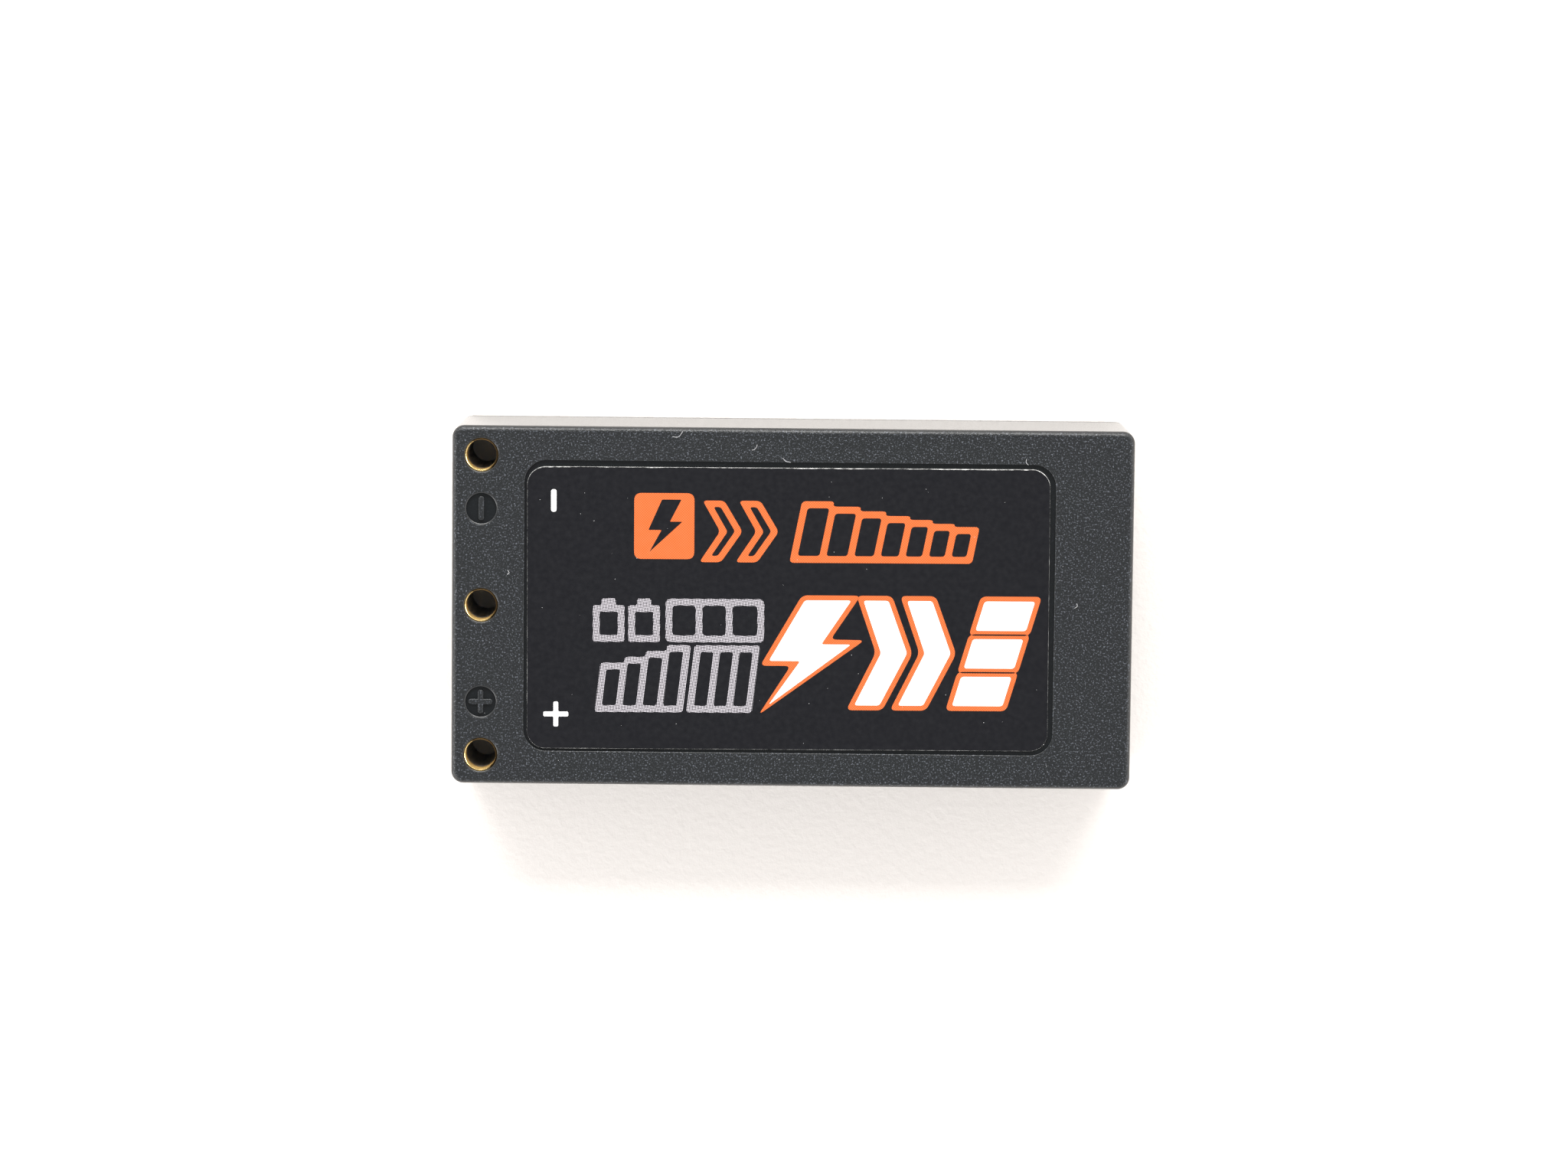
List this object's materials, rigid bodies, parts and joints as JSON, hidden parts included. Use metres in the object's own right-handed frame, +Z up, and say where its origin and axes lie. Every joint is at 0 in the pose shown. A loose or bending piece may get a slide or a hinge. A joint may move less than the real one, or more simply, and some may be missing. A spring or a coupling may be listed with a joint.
{
  "type": "lipo battery pack",
  "caption": "Small hard-case lithium polymer pack with gold bullet sockets in its top face beside moulded polarity marks and a recessed label.",
  "frame": {"origin": "centre of the case's underside", "axes": "+X along the case's length, away from the sockets; +Y across its width, towards the negative socket; +Z up, out of the labelled face and the sockets"},
  "size_m": [0.0452, 0.024, 0.01],
  "materials": {
    "case_plastic": "black moulded plastic with a fine spark-eroded texture",
    "label_film": "satin black printed film",
    "gold_plate": "gold-plated turned brass",
    "nickel_strip": "nickel strip",
    "solder": "bright solder",
    "circuit_board": "green solder mask on glass laminate",
    "pouch_laminate": "silver-grey pouch laminate",
    "electrode_stack": "dark electrode stack",
    "tab_film": "milky sealing film",
    "aluminium_tab": "plain aluminium foil",
    "nickel_tab": "nickel-plated foil",
    "foam": "soft black foam",
    "bonding_tape": "white double-sided tape",
    "amber_film": "amber polyimide tape"
  },
  "bodies": {
    "root": {"balance_socket": "gold_plate", "balance_strip": "nickel_strip", "bottom_cover": "case_plastic", "bottom_label": "label_film", "bottom_pad": "foam", "case_shell": "case_plastic", "cell_band": "amber_film", "cell_tape": "bonding_tape", "end_pad": "foam", "lower_cell_electrode_stack": "electrode_stack", "lower_cell_negative_tab": "nickel_tab", "lower_cell_positive_tab": "aluminium_tab", "lower_cell_pouch": "pouch_laminate", "lower_cell_tab_films": "tab_film", "negative_socket": "gold_plate", "negative_strip": "nickel_strip", "positive_socket": "gold_plate", "positive_strip": "nickel_strip", "socket_solder": "solder", "tab_solder": "solder", "terminal_board": "circuit_board", "top_label": "label_film", "top_pad": "foam", "upper_cell_electrode_stack": "electrode_stack", "upper_cell_negative_tab": "nickel_tab", "upper_cell_positive_tab": "aluminium_tab", "upper_cell_pouch": "pouch_laminate", "upper_cell_tab_films": "tab_film"}
  },
  "joints": []
}
